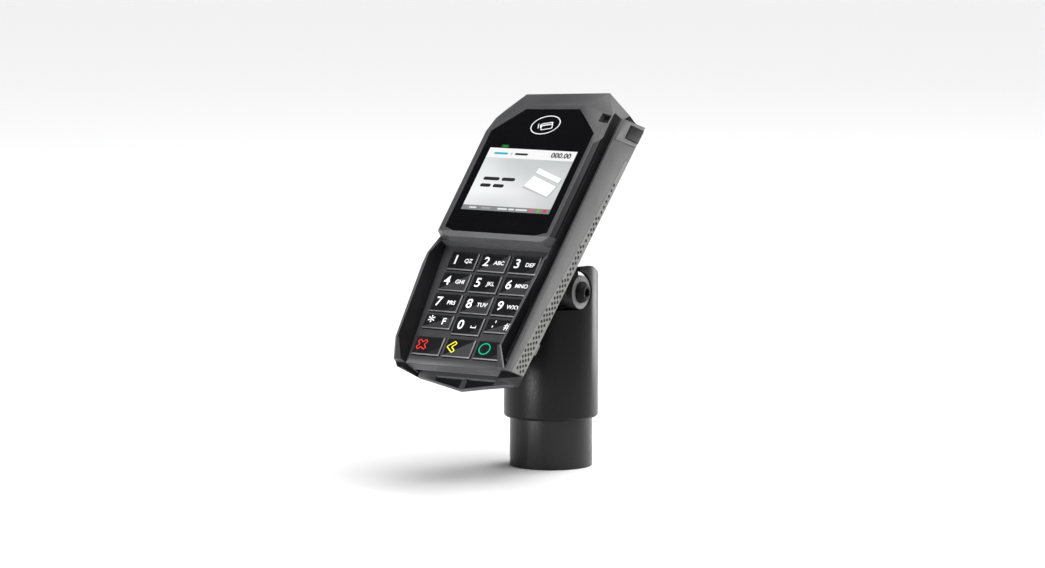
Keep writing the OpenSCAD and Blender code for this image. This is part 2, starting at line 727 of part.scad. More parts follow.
module tilt_bracket() color("#1d1d1f")
  difference() {
    union() {
      place_terminal() box([-17, plate_low.y + 0.5, base_z], [17, plate_low.y + 45, base_z + base_t]);
      place_axis() both_sides() {
        rod_x(barrel_r, knuckle_x + washer_t + run_gap, barrel_end);
        translate([knuckle_x + washer_t + run_gap, 0, 0]) rotate([90, 0, 90]) linear_extrude(12)
          polygon([[-6.5, 2], [6.5, 2], [15, base_z - axis_local.z], [-6.5, base_z - axis_local.z]]);
      }
    }
    place_axis() {
      rod_x(tilt_bolt_d / 2 + screw_fit, -barrel_end - 1, barrel_end + 1);
      translate([-nut_x, 0, 0]) mirror([1, 0, 0]) rotate([0, 90, 0])
        cylinder(r = nut_r + 0.1, h = nut_t + 2, $fn = 6);
    }
    place_terminal() at_bracket_screws() {
      translate([0, 0, base_z - 1]) cylinder(r = 2 + screw_fit, h = base_t + 2);
      translate([0, 0, base_z - 1]) cylinder(r = bracket_head_r + 0.15, h = bracket_head_h + 1);
    }
  }

bracket_head_r = 3.5;
bracket_head_h = 1.9;
module bracket_screws() color("#9a9da0") place_terminal() at_bracket_screws()
  difference() {
    translate([0, 0, base_z]) {
      cylinder(r = bracket_head_r, h = bracket_head_h);
      cylinder(r = 2, h = base_t + plate_t);
    }
    translate([0, 0, base_z - 1]) cylinder(r = 1.45, h = 2.3, $fn = 6);
  }

nut_r = tilt_bolt_d * 0.96;
nut_t = tilt_bolt_d * 0.8;
nut_x = barrel_end - nut_t - 0.4;
bolt_head_r = tilt_bolt_d * 0.875;
bolt_head_h = tilt_bolt_d * 0.55;
dome_r = tilt_bolt_d * 0.962;
module tilt_bolt() color("#232324") place_axis()
  difference() {
    union() {
      rod_x(tilt_bolt_d / 2, -barrel_end + 1.6, barrel_end + 1);
      intersection() {
        rod_x(bolt_head_r, barrel_end, barrel_end + bolt_head_h);
        translate([barrel_end - tilt_bolt_d * 0.28, 0, 0]) rotate([0, 90, 0]) sphere(dome_r);
      }
    }
    translate([barrel_end + bolt_head_h - 2.2, 0, 0]) rotate([0, 90, 0])
      cylinder(r = tilt_bolt_d * 0.385, h = 4, $fn = 6);
  }

module tilt_nut() color("#8d9094") place_axis()
  translate([-nut_x, 0, 0]) mirror([1, 0, 0]) rotate([0, 90, 0])
    difference() {
      cylinder(r = nut_r, h = nut_t, $fn = 6);
      translate([0, 0, -1]) cylinder(r = tilt_bolt_d / 2 + screw_fit, h = nut_t + 2);
    }

// ---- head ----
module at_tilt() translate([0, axis_y, axis_z]) children();

module friction_washers() color("#c8b98c") place_axis() both_sides()
  difference() {
    rod_x(barrel_r - 0.7, knuckle_x + run_gap, knuckle_x + run_gap + washer_t);
    rod_x(tilt_bolt_d / 2 + 2 * run_gap, 0, knuckle_x + 2);
  }

ear_rise = 12.2;
ear_r = 10;
ear_turn = 24;
edge_r = 1.4;
notch_open = [-1.1, 1.5];
nose_r = (ear_rise - notch_r - notch_open.y) / 2;
rear_cut = [for (a = [0 : 4 : ear_turn])
    [axis_y + 6.7 + ear_r * sin(a), ear_rise - ear_r * (1 - cos(a))]];
rear_last = rear_cut[len(rear_cut) - 1];
module head_sleeve() color("#222224")
  difference() {
    rotate_extrude($fn = 96) polygon(concat([[head_in, pole_show + 0.6], [head_in + 0.5, pole_show]],
        [for (a = [0 : 15 : 90]) [head_r - edge_r + edge_r * sin(a),
            pole_show + edge_r - edge_r * cos(a)]],
        [[head_r, axis_z + ear_rise], [head_in, axis_z + ear_rise]]));
    at_tilt() {
      rod_x(notch_r, -head_r - 1, head_r + 1);
      // the notch widens towards its mouth
      translate([0, notch_open.x, notch_open.y]) rod_x(notch_r, -head_r - 1, head_r + 1);
    }
    // open front above the barrels, with a round nose on each ear
    box([-head_r - 1, -head_r - 1, axis_z - notch_r], [head_r + 1, axis_y, axis_z + ear_rise + 1]);
    difference() {
      box([-head_r - 1, axis_y - 1, axis_z + ear_rise - 2 * nose_r - 1],
        [head_r + 1, axis_y + nose_r, axis_z + ear_rise + 1]);
      translate([0, axis_y + nose_r, axis_z + ear_rise - nose_r]) rod_x(nose_r, -head_r - 2, head_r + 2);
    }
    // rounded and sloped rear top
    translate([-head_r - 1, 0, axis_z]) rotate([90, 0, 90]) linear_extrude(2 * head_r + 2)
      polygon(concat(rear_cut, [[head_r + 2, rear_last.y - (head_r + 2 - rear_last.x) * tan(ear_turn)],
          [head_r + 2, ear_rise + 2], [rear_cut[0].x, ear_rise + 2]]));
    at_knuckle_screws() cylinder(r = 2 + screw_fit, h = head_r + 5);
  }

pole_top = pole_show + 30;
thrust_t = 1.5;
disc_z = pole_top + thrust_t;
disc_t = 6;
pivot_r = 4;
module at_knuckle_screws()
  for (a = [60, 120]) rotate([0, 0, a]) translate([0, 0, disc_z + disc_t / 2]) rotate([0, 90, 0]) children();

module tilt_knuckle() color("#2c2c2e")
  difference() {
    union() {
      translate([0, 0, disc_z]) cylinder(r = head_in - screw_fit, h = disc_t, $fn = 96);
      box([-knuckle_x, axis_y - 6.5, disc_z + disc_t - 1], [knuckle_x, axis_y + 8, axis_z]);
      at_tilt() rod_x(barrel_r - 0.2, -knuckle_x, knuckle_x);
    }
    at_tilt() rod_x(tilt_bolt_d / 2 + run_gap, -knuckle_x - 1, knuckle_x + 1);
    translate([0, 0, disc_z - 1]) cylinder(r = pivot_r + run_gap, h = disc_t + 2);
    translate([0, 0, disc_z + disc_t]) cylinder(r = pivot_r * 1.85, h = 11);
    at_knuckle_screws() translate([0, 0, head_in - 8]) cylinder(r = 2 + screw_fit, h = 20);
  }

module knuckle_screws() color("#3a3a3c") at_knuckle_screws()
  translate([0, 0, head_in - 7]) difference() {
    cylinder(r = 2, h = head_r - head_in + 6.6);
    translate([0, 0, head_r - head_in + 4.6]) cylinder(r = 1.1, h = 4, $fn = 6);
  }

// ---- pole ----
module pivot_bolt() color("#8d9094")
  difference() {
    union() {
      translate([0, 0, disc_z + disc_t + 0.1]) cylinder(r = pivot_r * 1.625, h = pivot_r * 2);
      translate([0, 0, pole_top - 11]) cylinder(r = pivot_r, h = 11 + thrust_t + disc_t + 0.2);
    }
    translate([0, 0, disc_z + disc_t + 4]) cylinder(r = pivot_r * 0.86, h = 9, $fn = 6);
  }

module thrust_washer() color("#c8b98c")
  translate([0, 0, pole_top]) difference() {
    cylinder(r = pole_r - 0.5, h = thrust_t - run_gap, $fn = 96);
    translate([0, 0, -1]) cylinder(r = pivot_r + 0.3, h = thrust_t + 2);
  }

module swivel_bush() color("#d8d6cf")
  translate([0, 0, pole_show + 1]) difference() {
    cylinder(r = pole_r + bush_t, h = pole_top - pole_show - 2, $fn = 96);
    translate([0, 0, -1]) cylinder(r = pole_r, h = pole_top, $fn = 96);
  }

module pole_tube() color("#1c1c1e")
  difference() {
    cylinder(r = pole_r, h = pole_top, $fn = 96);
    translate([0, 0, -1]) cylinder(r = pole_in, h = pole_top + 2, $fn = 96);
  }

insert_l = 12;
base_l = 14;
base_screw_r = 4.25;
module top_insert() color("#a4a7aa")
  translate([0, 0, pole_top - insert_l]) difference() {
    cylinder(r = pole_in, h = insert_l, $fn = 96);
    translate([0, 0, -1]) cylinder(r = pivot_r + screw_fit, h = insert_l + 2);
  }

module base_insert() color("#a4a7aa")
  difference() {
    cylinder(r = pole_in, h = base_l, $fn = 96);
    translate([0, 0, -1]) cylinder(r = base_screw_r, h = base_l + 2);
  }

front_casing();
rear_casing();
swipe_rail();
rail_end_cap();
corner_plug();
grip_strip();
slot_liner();
display_window();
lcd_panel();
lcd_frame();
status_light_guide();
antenna_board();
main_board();
security_shield();
backup_cell();
buzzer();
keypad_plate();
keypad_membrane();
keypad_board();
magnetic_head();
head_spring();
chip_reader();
chip_contacts();
card_lip();
casing_screws();
service_cover();
rear_connector();
rubber_feet();
adapter_plate();
adapter_screws();
tilt_bracket();
bracket_screws();
tilt_bolt();
tilt_nut();
friction_washers();
head_sleeve();
tilt_knuckle();
knuckle_screws();
pivot_bolt();
thrust_washer();
swivel_bush();
pole_tube();
top_insert();
base_insert();
for (row = [0 : len(ROW_KEYS) - 1], col = [0 : 2])
  key(row, col);
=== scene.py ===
# Looks of the card payment terminal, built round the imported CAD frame. Metres, +Z up.
import json
import math

import bmesh
import bpy
from mathutils import Matrix, Vector


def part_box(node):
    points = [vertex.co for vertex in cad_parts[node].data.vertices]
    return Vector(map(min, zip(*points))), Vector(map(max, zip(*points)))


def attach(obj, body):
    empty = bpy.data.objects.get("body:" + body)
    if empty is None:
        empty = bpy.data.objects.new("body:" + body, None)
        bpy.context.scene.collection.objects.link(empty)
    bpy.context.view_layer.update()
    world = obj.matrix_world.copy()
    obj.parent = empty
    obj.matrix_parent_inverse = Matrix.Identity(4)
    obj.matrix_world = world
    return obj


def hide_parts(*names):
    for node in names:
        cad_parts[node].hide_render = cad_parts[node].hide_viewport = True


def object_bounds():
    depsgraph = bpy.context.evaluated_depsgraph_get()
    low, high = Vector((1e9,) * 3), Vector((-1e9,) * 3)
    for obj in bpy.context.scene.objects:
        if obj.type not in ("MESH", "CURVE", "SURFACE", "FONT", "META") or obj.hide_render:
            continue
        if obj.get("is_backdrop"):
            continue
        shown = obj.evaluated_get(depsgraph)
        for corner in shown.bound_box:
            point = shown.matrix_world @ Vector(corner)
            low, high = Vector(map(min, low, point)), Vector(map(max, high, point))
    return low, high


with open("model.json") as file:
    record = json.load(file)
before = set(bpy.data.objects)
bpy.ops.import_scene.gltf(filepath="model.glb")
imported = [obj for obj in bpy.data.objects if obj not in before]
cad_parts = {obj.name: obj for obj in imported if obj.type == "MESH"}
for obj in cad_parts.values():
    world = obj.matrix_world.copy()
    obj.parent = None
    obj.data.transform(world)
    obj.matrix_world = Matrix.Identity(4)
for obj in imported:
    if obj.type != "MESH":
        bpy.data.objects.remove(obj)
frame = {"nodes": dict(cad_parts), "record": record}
MM = 0.001


def write_size(key, sizes={}):
    low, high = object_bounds()
    sizes[key] = [list(low), list(high)]


write_size("cad")
nodes = frame["nodes"]
slots = {s["node"]: s["material_slot"] for s in frame["record"]["subparts"]}

# ---- places repeated from part.scad, in millimetres and degrees ----
LEAN = 42.3
DECK_TILT = 4.3
AXIS_Y = -7.5
AXIS_Z = 86.3
AXIS_BELOW = 26.5
AXIS_BEHIND = 51.1
DECK_MIDDLE = (0, -65.25, -11.4)
PITCH_X = 17.6
PITCH_Y = 11.8
KEY_W = 15.8
KEY_H = 10.0
SHORT_KEY_H = 7.6
KEY_DROP = 0.9
LAST_ROW_DROP = 0.5
KEY_RISE = 1.0
ROWS = [["1", "2", "3"], ["4", "5", "6"], ["7", "8", "9"], ["star", "0", "hash"],
        ["cancel", "clear", "enter"]]
# height of the window's front over the middle of the display
FACE_Z = 0.4
# half the width and half the height of the lit picture
W = 25.1
H = 18.8
# from places on the terminal, and on its keypad plate, to the world
TERMINAL = (Matrix.Translation((0, AXIS_Y, AXIS_Z)) @ Matrix.Rotation(math.radians(90 - LEAN), 4, "X")
            @ Matrix.Translation((0, AXIS_BELOW, AXIS_BEHIND)))
DECK = (TERMINAL @ Matrix.Translation(DECK_MIDDLE)
        @ Matrix.Rotation(math.radians(DECK_TILT), 4, "X"))
INV = TERMINAL.inverted()


def place(matrix, x, y, z=0.0):
    return (matrix @ Vector((x, y, z))) * MM


# ---- materials ----
def shader(name):
    m = bpy.data.materials.new(name)
    m.use_nodes = True
    t = m.node_tree
    t.nodes.clear()
    out = t.nodes.new("ShaderNodeOutputMaterial")
    b = t.nodes.new("ShaderNodeBsdfPrincipled")
    t.links.new(b.outputs[0], out.inputs[0])
    return m, t, b


def noise(t, scale, detail=3.0, rough=0.5):
    c = t.nodes.new("ShaderNodeTexCoord")
    n = t.nodes.new("ShaderNodeTexNoise")
    n.inputs["Scale"].default_value = scale
    n.inputs["Detail"].default_value = detail
    n.inputs["Roughness"].default_value = rough
    t.links.new(c.outputs["Object"], n.inputs["Vector"])
    return n.outputs["Fac"]


def remap(t, value, low, high, a, b):
    m = t.nodes.new("ShaderNodeMapRange")
    for socket, v in zip(m.inputs[1:5], (low, high, a, b)):
        socket.default_value = v
    t.links.new(value, m.inputs[0])
    return m.outputs[0]


def ramp(t, value, stops):
    r = t.nodes.new("ShaderNodeValToRGB")
    while len(r.color_ramp.elements) < len(stops):
        r.color_ramp.elements.new(0.5)
    for e, (pos, col) in zip(r.color_ramp.elements, stops):
        e.position, e.color = pos, (*col, 1)
    t.links.new(value, r.inputs[0])
    return r.outputs[0]

# noise scale of the blotches in colour and of the smudges in sheen
BLOTCH_SCALE = 28
SMUDGE_SCALE = 60
# width of the edges lightened by wear and a painted highlight, in metres, and the dot of the normals where
# that lightening starts and is full
WEAR_AND_HIGHLIGHT_RADIUS = 0.0007
WEAR_AND_HIGHLIGHT_STARTS = 0.998
WEAR_AND_HIGHLIGHT_FULL = 0.93
COAT_ROUGH = 0.08
# roughness of what is seen through the glossy window
GLASS_ROUGH = 0.12


def moulded(name, colour, rough=0.5, grain=0.35, grain_mm=0.35, spread=0.12, specular=0.5, coat=0.0,
            edge=0.0, metallic=0.0, depth=0.00006):
    """Moulded, painted or metal surface: fine grain, blotchy sheen, and edges lightened by wear and a
    painted highlight.
    """
    m, t, b = shader(name)
    blotch = noise(t, BLOTCH_SCALE, 4, 0.6)
    dark = tuple(c * (1 - spread) for c in colour)
    light = tuple(min(1, c * (1 + spread)) for c in colour)
    col = ramp(t, blotch, [(0.3, dark), (0.7, light)])
    # wear and painted highlight: near sharp edges the base colour is mixed towards a lighter grey
    if edge:
        bev = t.nodes.new("ShaderNodeBevel")
        bev.samples = 4
        bev.inputs["Radius"].default_value = WEAR_AND_HIGHLIGHT_RADIUS
        geo = t.nodes.new("ShaderNodeNewGeometry")
        dot = t.nodes.new("ShaderNodeVectorMath")
        dot.operation = "DOT_PRODUCT"
        t.links.new(bev.outputs[0], dot.inputs[0])
        t.links.new(geo.outputs["True Normal"], dot.inputs[1])
        wear_and_highlight_mask = remap(t, dot.outputs["Value"], WEAR_AND_HIGHLIGHT_STARTS, WEAR_AND_HIGHLIGHT_FULL, 0, edge)
        mix = t.nodes.new("ShaderNodeMix")
        mix.data_type = "RGBA"
        t.links.new(wear_and_highlight_mask, mix.inputs[0])
        t.links.new(col, mix.inputs[6])
        mix.inputs[7].default_value = (*(min(1, c * 2.2 + 0.02) for c in colour), 1)
        col = mix.outputs[2]
    t.links.new(col, b.inputs["Base Color"])
    smudge = noise(t, SMUDGE_SCALE, 5, 0.65)
    t.links.new(remap(t, smudge, 0.3, 0.7, rough - 0.05, rough + 0.06), b.inputs["Roughness"])
    b.inputs["Metallic"].default_value = metallic
    b.inputs["Specular IOR Level"].default_value = specular
    b.inputs["Coat Weight"].default_value = coat
    b.inputs["Coat Roughness"].default_value = COAT_ROUGH
    bump = t.nodes.new("ShaderNodeBump")
    bump.inputs["Strength"].default_value = grain
    bump.inputs["Distance"].default_value = depth
    t.links.new(noise(t, 1 / (grain_mm * MM), 2), bump.inputs["Height"])
    t.links.new(bump.outputs[0], b.inputs["Normal"])
    return m


def glow(name, colour, strength):
    """A lit patch seen through the glossy window."""
    m, t, b = shader(name)
    b.inputs["Base Color"].default_value = (0.01, 0.01, 0.01, 1)
    b.inputs["Roughness"].default_value = GLASS_ROUGH
    wash = noise(t, 45, 2)
    dim = tuple(c * 0.97 for c in colour)
    t.links.new(ramp(t, wash, [(0.3, dim), (0.7, colour)]), b.inputs["Emission Color"])
    b.inputs["Emission Strength"].default_value = strength
    return m


def glowing_print(name, colour, strength):
    """Printed legend with a faint painted glow added to its colour."""
    m = moulded(name, colour, 0.4, 0.1, spread=0.03)
    b = next(n for n in m.node_tree.nodes if n.type == "BSDF_PRINCIPLED")
    b.inputs["Emission Color"].default_value = (*colour, 1)
    b.inputs["Emission Strength"].default_value = strength
    return m


MAT = {}


def surface(name, colour, *finish, **options):
    """A moulded() material, kept in MAT under its name."""
    MAT[name] = moulded(name, colour, *finish, **options)


surface("charcoal_plastic", (0.066, 0.066, 0.069), 0.46, specular=0.4, edge=0.35)
surface("black_plastic", (0.007, 0.007, 0.008), 0.45, specular=0.25, edge=0.3)
surface("grey_plastic", (0.08, 0.08, 0.082), 0.5, specular=0.3, edge=0.3)
surface("window_plastic", (0.004, 0.004, 0.005), 0.09, 0.004, spread=0.15, coat=0.3)
surface("display_panel", (0.8, 0.83, 0.85), 0.2, 0.02, spread=0.02)
surface("bright_steel", (0.6, 0.6, 0.61), 0.33, 0.12, metallic=1.0)
surface("light_guide", (0.02, 0.42, 0.08), 0.2, 0.05)
surface("board_green", (0.02, 0.15, 0.05), 0.4, 0.2, 0.8)
surface("membrane_rubber", (0.05, 0.055, 0.06), 0.65, 0.4)
surface("head_alloy", (0.5, 0.51, 0.53), 0.22, 0.1, metallic=1.0)
surface("contact_gold", (0.7, 0.5, 0.14), 0.25, 0.1, metallic=1.0)
surface("screw_steel", (0.42, 0.43, 0.45), 0.35, 0.2, metallic=1.0)
surface("foot_rubber", (0.012, 0.012, 0.012), 0.8, 0.6)
surface("bracket_paint", (0.02, 0.02, 0.021), 0.36, 0.3, 0.5, specular=0.3, edge=0.25)
surface("bearing_plastic", (0.6, 0.58, 0.5), 0.5, 0.2)
surface("head_paint", (0.005, 0.005, 0.0055), 0.31, 0.9, 0.5, spread=0.3, specular=0.2, edge=0.3,
        depth=0.0001)
surface("pole_paint", (0.0045, 0.0045, 0.005), 0.31, 0.9, 0.5, spread=0.3, specular=0.35, edge=0.25,
        depth=0.0001)
surface("insert_aluminium", (0.6, 0.6, 0.61), 0.3, 0.15, metallic=1.0)
surface("key_plastic", (0.012, 0.012, 0.014), 0.16, 0.05, spread=0.25, coat=0.4, edge=0.45)
surface("plate_plastic", (0.05, 0.05, 0.053), 0.46, specular=0.35, edge=0.3)
surface("ring_paint", (0.11, 0.11, 0.112), 0.45, 0.3, 0.5, edge=0.25)
surface("bolt_black", (0.005, 0.005, 0.005), 0.5, 0.2, specular=0.12, edge=0.6)
# painted shade for the faces of the swipe rail toward the front
surface("rail_front_painted_shade", (0.05, 0.05, 0.052), 0.42, edge=0.3)
# depth under the strip's surface, in metres, between which the painted shade of the dimples comes in
DIMPLE_SHADE_STARTS = 0.0002
DIMPLE_SHADE_FULL = 0.0003


def grip_rubber():
    """Light rubber with painted shade in its dimples: dark grey by depth."""
    m = moulded("grip_rubber", (0.2, 0.2, 0.192), 0.62, 0.5)
    t = m.node_tree
    b = next(n for n in t.nodes if n.type == "BSDF_PRINCIPLED")
    old = b.inputs["Base Color"].links[0].from_socket
    c = t.nodes.new("ShaderNodeTexCoord")
    s = t.nodes.new("ShaderNodeSeparateXYZ")
    t.links.new(c.outputs["Object"], s.inputs[0])
    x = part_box("grip_strip")[1][0]
    # painted shade: the deeper into a dimple, the darker grey
    dimple_shade = remap(t, s.outputs[0], x - DIMPLE_SHADE_FULL, x - DIMPLE_SHADE_STARTS, 1, 0)
    mix = t.nodes.new("ShaderNodeMix")
    mix.data_type = "RGBA"
    t.links.new(dimple_shade, mix.inputs[0])
    t.links.new(old, mix.inputs[6])
    mix.inputs[7].default_value = (0.035, 0.035, 0.034, 1)
    t.links.new(mix.outputs[2], b.inputs["Base Color"])
    return m


MAT["grip_rubber"] = grip_rubber()


# ---- pieces ----
def add(obj, body):
    bpy.context.scene.collection.objects.link(obj)
    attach(obj, body)
    return obj


def body_of(node):
    return next(b for b, names in frame["record"]["behaviour"]["bodies"].items() if node in names)


# edges that turn more than this many degrees are rounded
SHARP_ANGLE = 28


def finished(node, bevel_mm, segments=3):
    """The CAD node again, with its sharp edges rounded inside its own box."""
    me = nodes[node].data.copy()
    bm = bmesh.new()
    bm.from_mesh(me)
    bmesh.ops.remove_doubles(bm, verts=bm.verts, dist=2e-6)
    bmesh.ops.dissolve_limit(bm, angle_limit=math.radians(1.0), verts=bm.verts, edges=bm.edges)
    bm.to_mesh(me)
    bm.free()
    me.materials.clear()
    me.materials.append(MAT[slots[node]])
    obj = bpy.data.objects.new(node + "_finished", me)
    add(obj, body_of(node))
    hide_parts(node)
    for p in me.polygons:
        p.use_smooth = True
    mod = obj.modifiers.new("edges", "BEVEL")
    mod.width = bevel_mm * MM
    mod.segments = segments
    mod.limit_method = "ANGLE"
    mod.angle_limit = math.radians(SHARP_ANGLE)
    mod.use_clamp_overlap = True
    mod.harden_normals = True
    return obj


def flat(name, outline, z, material, thick):
    """A lit patch on the terminal with the given outline, standing thick above height z."""
    bm = bmesh.new()
    face = bm.faces.new([bm.verts.new(place(TERMINAL, x, y, z)) for x, y in outline])
    up = bmesh.ops.extrude_face_region(bm, geom=[face])
    lift = (TERMINAL.to_3x3() @ Vector((0, 0, thick))) * MM
    bmesh.ops.translate(bm, vec=lift, verts=[v for v in up["geom"] if isinstance(v, bmesh.types.BMVert)])
    bmesh.ops.recalc_face_normals(bm, faces=bm.faces)
    me = bpy.data.meshes.new(name)
    bm.to_mesh(me)
    bm.free()
    me.materials.append(material)
    return add(bpy.data.objects.new(name, me), "terminal")


# the font's size over the height of its digits, and the thickness of a printed letter
FONT_SIZE = 1.38
INK_THICK = 0.01


def legend(name, text, matrix, x, y, z, height, material, body, bold=0.0, centre=False):
    cu = bpy.data.curves.new(name, "FONT")
    cu.body = text
    cu.size = height * MM * FONT_SIZE
    cu.offset = bold * MM
    cu.extrude = INK_THICK * MM
    cu.resolution_u = 4
    if centre:
        cu.align_x = "CENTER"
    tmp = bpy.data.objects.new(name, cu)
    bpy.context.scene.collection.objects.link(tmp)
    me = bpy.data.meshes.new_from_object(tmp.evaluated_get(bpy.context.evaluated_depsgraph_get()))
    bpy.data.objects.remove(tmp)
    turn = matrix.to_3x3().to_4x4()
    me.transform(Matrix.Translation(place(matrix, x, y, z)) @ turn)
    me.materials.clear()
    me.materials.append(material)
    return add(bpy.data.objects.new(name, me), body)


# ---- screen, legends and lights of the face ----
def lit(name, outline, colour, strength=1.0, z=0.0):
    return flat(name, outline, FACE_Z + z, glow(name, colour, strength), 0.01)


def rect(x0, y0, x1, y1):
    return [(x0, y0), (x1, y0), (x1, y1), (x0, y1)]


def rounded(x0, y0, x1, y1, r, steps=5):
    pts = []
    corners = ((x1 - r, y0 + r, -90), (x1 - r, y1 - r, 0), (x0 + r, y1 - r, 90), (x0 + r, y0 + r, 180))
    for cx, cy, a0 in corners:
        for k in range(steps + 1):
            a = math.radians(a0 + 90 * k / steps)
            pts.append((cx + r * math.cos(a), cy + r * math.sin(a)))
    return pts


def tilted(pts, cx, cy, turn):
    """The points turned by so many degrees about the origin, then moved to the centre given."""
    c, s = math.cos(math.radians(turn)), math.sin(math.radians(turn))
    return [(cx + x * c - y * s, cy + x * s + y * c) for x, y in pts]


def ring(cx, cy, rx, ry, width, turn=0.0, steps=48):
    """Quads of an elliptical band, as a list of outlines."""
    quads = []

    def at(k, grow):
        a = math.radians(360 * k / steps)
        return ((rx + grow) * math.cos(a), (ry + grow) * math.sin(a))

    for k in range(steps):
        quad = [at(k, -width / 2), at(k, width / 2), at(k + 1, width / 2), at(k + 1, -width / 2)]
        quads.append(tilted(quad, cx, cy, turn))
    return quads


def print_shape(name, outlines, matrix, z, material, body):
    """One flat mesh made of several outlines."""
    bm = bmesh.new()
    for o in outlines:
        bm.faces.new([bm.verts.new(place(matrix, x, y, z)) for x, y in o])
    bmesh.ops.remove_doubles(bm, verts=bm.verts, dist=1e-7)
    up = matrix.to_3x3() @ Vector((0, 0, 1))
    for f in bm.faces:
        f.normal_update()
        if f.normal.dot(up) < 0:
            f.normal_flip()
    me = bpy.data.meshes.new(name)
    bm.to_mesh(me)
    bm.free()
    me.materials.append(material)
    return add(bpy.data.objects.new(name, me), body)


def screen_body():
    """Pale grey backlit picture, brighter low on the left, with faint folded bands."""
    m, t, b = shader("screen_body")
    b.inputs["Base Color"].default_value = (0.01, 0.01, 0.01, 1)
    b.inputs["Roughness"].default_value = GLASS_ROUGH
    uv = t.nodes.new("ShaderNodeTexCoord")
    sep = t.nodes.new("ShaderNodeSeparateXYZ")
    t.links.new(uv.outputs["UV"], sep.inputs[0])
    shade = ramp(t, sep.outputs[1], [(0.0, (0.72, 0.74, 0.74)), (0.3, (0.84, 0.86, 0.86)),
                                     (0.75, (0.66, 0.69, 0.69)), (1.0, (0.56, 0.59, 0.59))])
    side = remap(t, sep.outputs[0], 0.0, 1.0, 1.12, 0.82)
    wave = t.nodes.new("ShaderNodeTexNoise")
    wave.inputs["Scale"].default_value = 2.2
    wave.inputs["Detail"].default_value = 0
    t.links.new(uv.outputs["UV"], wave.inputs["Vector"])
    fold = remap(t, wave.outputs["Fac"], 0.3, 0.7, 0.93, 1.07)
    mul = t.nodes.new("ShaderNodeMath")
    mul.operation = "MULTIPLY"
    t.links.new(side, mul.inputs[0])
    t.links.new(fold, mul.inputs[1])
    t.links.new(shade, b.inputs["Emission Color"])
    t.links.new(mul.outputs[0], b.inputs["Emission Strength"])
    return m


picture = flat("screen_body", rect(-W, -H, W, H), FACE_Z, screen_body(), 0.005)
uv = picture.data.uv_layers.new(name="UVMap")
for lp in picture.data.loops:
    q = INV @ (picture.data.vertices[lp.vertex_index].co / MM)
    uv.data[lp.index].uv = ((q.x + W) / (2 * W), (q.y + H) / (2 * H))

# lower edge of the header and upper edge of the footer
HEAD_Y = 12.9
FOOT_Y = -16.0
# height of printed marks over the window's front, on the picture and on the window
INK_Z = 0.04
WINDOW_INK_Z = 0.015
lit("screen_header", rect(-W, HEAD_Y, W, H), (0.95, 0.95, 0.95), 1.0, 0.02)
lit("screen_footer", rect(-W, -H, W, FOOT_Y), (0.24, 0.255, 0.26), 1.0, 0.02)


def words(name, x, y, lengths, height, colour, gap=0.9):
    """A line of plain bars where the picture has words."""
    outlines = []
    for n in lengths:
        outlines.append(rounded(x, y - height / 2, x + n, y + height / 2, height * 0.42, 3))
        x += n + gap
    print_shape(name, outlines, TERMINAL, FACE_Z + INK_Z, glow(name, colour, 1.0), "terminal")


words("header_left", -21.4, 15.6, (8.0,), 1.25, (0.02, 0.45, 0.62))
words("header_slash", -11.6, 15.6, (0.5,), 1.6, (0.35, 0.6, 0.7))
words("header_middle", -9.4, 15.6, (7.4,), 1.25, (0.03, 0.03, 0.03))
words("message_top", -20.6, 0.2, (9.2, 7.6), 2.0, (0.02, 0.02, 0.02), 1.3)
words("message_low", -20.7, -3.9, (6.0, 6.2), 2.0, (0.02, 0.02, 0.02), 1.3)
words("footer_left", -21.0, -17.4, (4.2,), 0.9, (0.8, 0.8, 0.8))
words("footer_next", -14.0, -17.4, (5.4,), 0.9, (0.42, 0.43, 0.43))
words("footer_words", -4.8, -17.4, (5.6, 3.2, 6.6), 0.95, (0.85, 0.85, 0.85), 0.8)
legend("header_amount", "000.00", TERMINAL, 11.3, 14.6, FACE_Z + INK_Z, 3.0,
       glow("amount_ink", (0.02, 0.02, 0.02), 1.0), "terminal", bold=0.12)
for name, x, col in (("dot_pink", 14.6, (0.75, 0.12, 0.28)), ("dot_green", 18.4, (0.25, 0.42, 0.03)),
                     ("dot_red", 22.2, (0.7, 0.05, 0.12))):
    turns = [math.radians(a) for a in range(0, 360, 20)]
    disc = [(x + 1.15 * math.cos(a), -17.35 + math.sin(a)) for a in turns]
    print_shape(name, [disc], TERMINAL, FACE_Z + INK_Z, glow(name, col, 1.0), "terminal")

# the pictogram: a card and a swipe bar, each with a soft shadow
CARD = [(3.9, -3.0), (6.9, 3.4), (22.2, -2.4), (19.5, -8.8)]
BAR = [(7.2, 5.2), (7.9, 8.0), (23.1, 2.4), (22.4, -0.4)]
for k, grow in enumerate((1.5, 1.0, 0.5)):
    for label, quad in (("card", CARD), ("bar", BAR)):
        cx, cy = (sum(p[i] for p in quad) / 4 for i in (0, 1))
        out = [(x + grow * (1 if x > cx else -0.3) * 0.7, y + grow * (0.2 if y > cy else -1) * 0.8)
               for x, y in quad]
        v = 0.60 - 0.05 * k
        lit("%s_shadow_%d" % (label, k), out, (v, v + 0.02, v + 0.02), 1.0, 0.02 + 0.005 * k)
lit("picture_card", CARD, (1.0, 1.0, 1.0), 1.05, 0.045)
lit("picture_bar", BAR, (0.98, 0.98, 0.98), 1.05, 0.05)
lit("picture_bar_side", [(7.2, 5.2), (22.4, -0.4), (22.0, -1.2), (6.9, 4.4)], (0.62, 0.64, 0.64), 1.0,
    0.048)

# green status light behind the window
lit("status_light", rounded(-19.0, 19.3, -15.0, 20.9, 0.3), (0.006, 0.13, 0.025), 1.0, 0.0)
lit("status_light_core", rounded(-18.2, 19.6, -15.8, 20.5, 0.3), (0.01, 0.26, 0.05), 1.0, 0.03)

